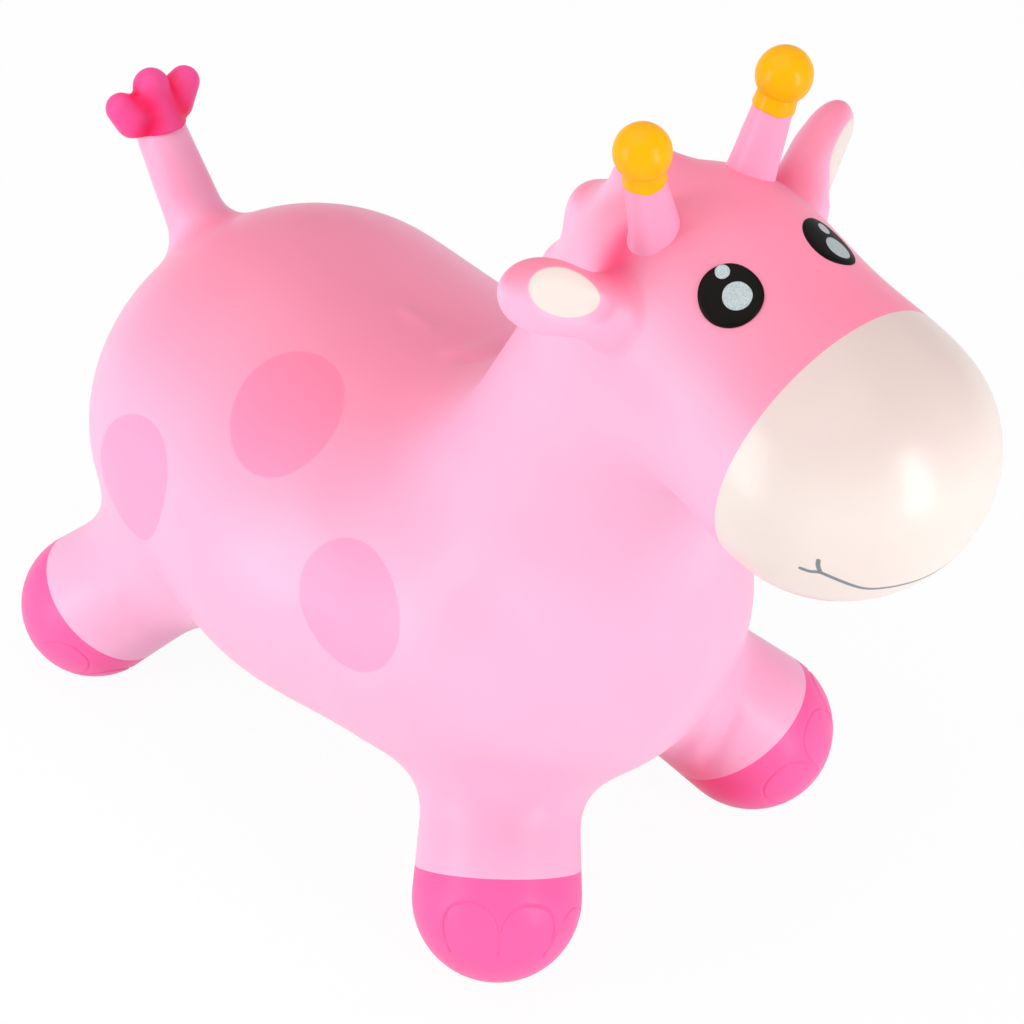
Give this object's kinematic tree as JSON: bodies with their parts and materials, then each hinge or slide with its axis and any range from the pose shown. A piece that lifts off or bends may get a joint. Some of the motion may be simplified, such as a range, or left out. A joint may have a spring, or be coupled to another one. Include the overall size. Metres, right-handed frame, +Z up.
{
  "type": "bouncy ride on animal",
  "caption": "Inflatable vinyl hopper shaped as a small giraffe, with a soft body to sit on, four stubby legs, ears, horns, a tail and a valve under the belly.",
  "frame": {"origin": "on the floor, under the middle of the overall box", "axes": "+X is forwards, towards the muzzle; +Y is the animal's left; +Z is up"},
  "size_m": [0.6387, 0.333, 0.5401],
  "materials": {
    "pink_vinyl": "semi-gloss soft vinyl",
    "cream_vinyl": "semi-gloss soft vinyl",
    "magenta_vinyl": "semi-gloss soft vinyl",
    "yellow_vinyl": "semi-gloss soft vinyl",
    "raspberry_vinyl": "semi-gloss soft vinyl",
    "black_vinyl": "gloss print on vinyl",
    "grey_vinyl": "soft translucent moulding"
  },
  "bodies": {
    "torso": {"torso_skin": "pink_vinyl", "neck_skin": "pink_vinyl", "leg_front_right": "pink_vinyl", "leg_front_left": "pink_vinyl", "leg_rear_right": "pink_vinyl", "leg_rear_left": "pink_vinyl", "valve_collar": "grey_vinyl"},
    "head": {"head_skin": "pink_vinyl", "mane_crest": "pink_vinyl", "muzzle": "cream_vinyl", "eye_right": "black_vinyl", "eye_left": "black_vinyl"},
    "ear_right": {"ear_right": "pink_vinyl"},
    "ear_left": {"ear_left": "pink_vinyl"},
    "horn_right": {"horn_right": "pink_vinyl", "horn_knob_right": "yellow_vinyl"},
    "horn_left": {"horn_left": "pink_vinyl", "horn_knob_left": "yellow_vinyl"},
    "tail": {"tail_stem": "pink_vinyl", "tail_tuft": "raspberry_vinyl"},
    "hoof_front_right": {"hoof_front_right": "magenta_vinyl"},
    "hoof_front_left": {"hoof_front_left": "magenta_vinyl"},
    "hoof_rear_right": {"hoof_rear_right": "magenta_vinyl"},
    "hoof_rear_left": {"hoof_rear_left": "magenta_vinyl"},
    "valve_plug": {"valve_plug": "grey_vinyl"}
  },
  "joints": [
    {"name": "head_nod", "type": "hinge", "parent": "torso", "child": "head", "pos_m": [0.10455, 0, 0.30851], "axis": [0, 1, 0], "range_deg": [-8, 8], "stiffness_Nm_per_rad": 30, "deforming": ["neck_skin"]},
    {"name": "ear_right_flex", "type": "hinge", "parent": "head", "child": "ear_right", "pos_m": [0.1498, -0.05825, 0.44294], "axis": [0.9511, -0.309, 0], "range_deg": [-12, 12], "stiffness_Nm_per_rad": 1},
    {"name": "ear_left_flex", "type": "hinge", "parent": "head", "child": "ear_left", "pos_m": [0.1498, 0.05825, 0.44294], "axis": [0.9511, 0.309, 0], "range_deg": [-12, 12], "stiffness_Nm_per_rad": 1},
    {"name": "horn_right_flex", "type": "hinge", "parent": "head", "child": "horn_right", "pos_m": [0.15038, -0.03143, 0.47362], "axis": [0, 1, 0], "range_deg": [-10, 10], "stiffness_Nm_per_rad": 1},
    {"name": "horn_left_flex", "type": "hinge", "parent": "head", "child": "horn_left", "pos_m": [0.15038, 0.03143, 0.47362], "axis": [0, 1, 0], "range_deg": [-10, 10], "stiffness_Nm_per_rad": 1},
    {"name": "tail_flex", "type": "hinge", "parent": "torso", "child": "tail", "pos_m": [-0.2578, 0, 0.24175], "axis": [0, 1, 0], "range_deg": [-12, 12], "stiffness_Nm_per_rad": 1.5},
    {"name": "leg_front_right_squash", "type": "slide", "parent": "torso", "child": "hoof_front_right", "axis": [0, 0, 1], "range_m": [0, 0.02], "stiffness_N_per_m": 2500, "springref_m": -0.002, "deforming": ["leg_front_right"]},
    {"name": "leg_front_left_squash", "type": "slide", "parent": "torso", "child": "hoof_front_left", "axis": [0, 0, 1], "range_m": [0, 0.02], "stiffness_N_per_m": 2500, "springref_m": -0.002, "deforming": ["leg_front_left"]},
    {"name": "leg_rear_right_squash", "type": "slide", "parent": "torso", "child": "hoof_rear_right", "axis": [0, 0, 1], "range_m": [0, 0.02], "stiffness_N_per_m": 2500, "springref_m": -0.002, "deforming": ["leg_rear_right"]},
    {"name": "leg_rear_left_squash", "type": "slide", "parent": "torso", "child": "hoof_rear_left", "axis": [0, 0, 1], "range_m": [0, 0.02], "stiffness_N_per_m": 2500, "springref_m": -0.002, "deforming": ["leg_rear_left"]},
    {"name": "valve_plug_pull", "type": "slide", "parent": "torso", "child": "valve_plug", "axis": [0, 0, -1], "range_m": [0, 0.012]}
  ]
}
